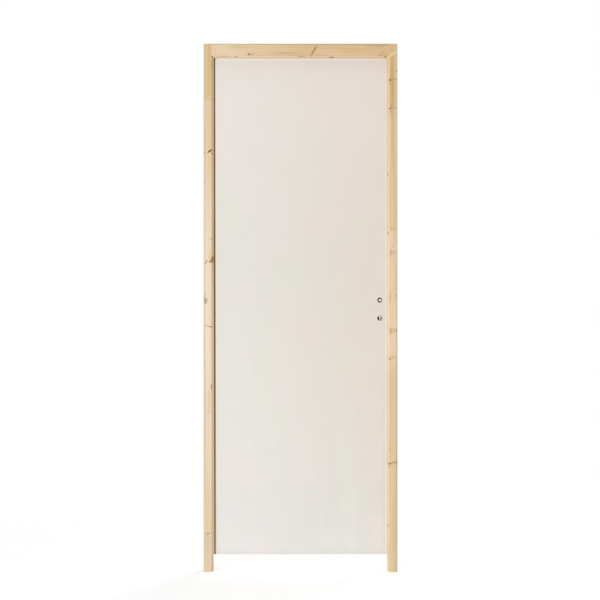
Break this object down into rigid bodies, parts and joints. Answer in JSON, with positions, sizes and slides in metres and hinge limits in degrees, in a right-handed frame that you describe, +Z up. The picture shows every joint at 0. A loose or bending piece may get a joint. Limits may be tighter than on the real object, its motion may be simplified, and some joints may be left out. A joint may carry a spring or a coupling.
{
  "type": "interior door set with a flush hollow core leaf",
  "caption": "Flush hollow core door leaf, primed, hung on lift-off hinges in a rebated softwood frame, with a mortise lock and drilled lock holes but no handle.",
  "frame": {"origin": "outer face of the hinge jamb, at mid depth of the frame, at finished floor level", "axes": "+X across the door from the hinge jamb to the lock jamb, +Y through the door from the push side to the pull side, +Z up"},
  "size_m": [0.79, 0.086, 2.153],
  "materials": {
    "softwood": "planed, unfinished",
    "seal": "matt",
    "plated_steel": "zinc plated, satin",
    "primed_board": "matt primer",
    "leaf_timber": "sawn and planed, unfinished",
    "core_paper": "plain paper",
    "lock_steel": "plain, dull",
    "hinge_brass": "turned"
  },
  "bodies": {
    "frame": {"hinge_jamb_bottom": "softwood", "hinge_jamb_middle": "softwood", "hinge_jamb_top": "softwood", "lock_jamb_bottom": "softwood", "lock_jamb_middle": "softwood", "lock_jamb_top": "softwood", "head": "softwood", "hinge_side_seal": "seal", "lock_side_seal": "seal", "head_seal": "seal", "strike_plate": "plated_steel", "frame_hinge_bottom": "plated_steel", "hinge_pin_bottom": "plated_steel", "hinge_ring_bottom": "hinge_brass", "frame_hinge_middle": "plated_steel", "hinge_pin_middle": "plated_steel", "hinge_ring_middle": "hinge_brass", "frame_hinge_top": "plated_steel", "hinge_pin_top": "plated_steel", "hinge_ring_top": "hinge_brass"},
    "leaf": {"front_skin": "primed_board", "back_skin": "primed_board", "hinge_stile": "leaf_timber", "lock_stile": "leaf_timber", "top_rail": "leaf_timber", "bottom_rail": "leaf_timber", "lock_block": "leaf_timber", "honeycomb_core": "core_paper", "lock_case": "lock_steel", "lock_faceplate": "plated_steel", "latch_bolt": "plated_steel", "dead_bolt": "plated_steel", "spindle_follower": "lock_steel", "leaf_hinge_bottom": "plated_steel", "leaf_hinge_middle": "plated_steel", "leaf_hinge_top": "plated_steel"}
  },
  "joints": [
    {"name": "leaf_swing", "type": "hinge", "parent": "frame", "child": "leaf", "pos_m": [0.0275, 0.0435, 1.027], "axis": [0, 0, 1], "range_deg": [0, 180]}
  ]
}
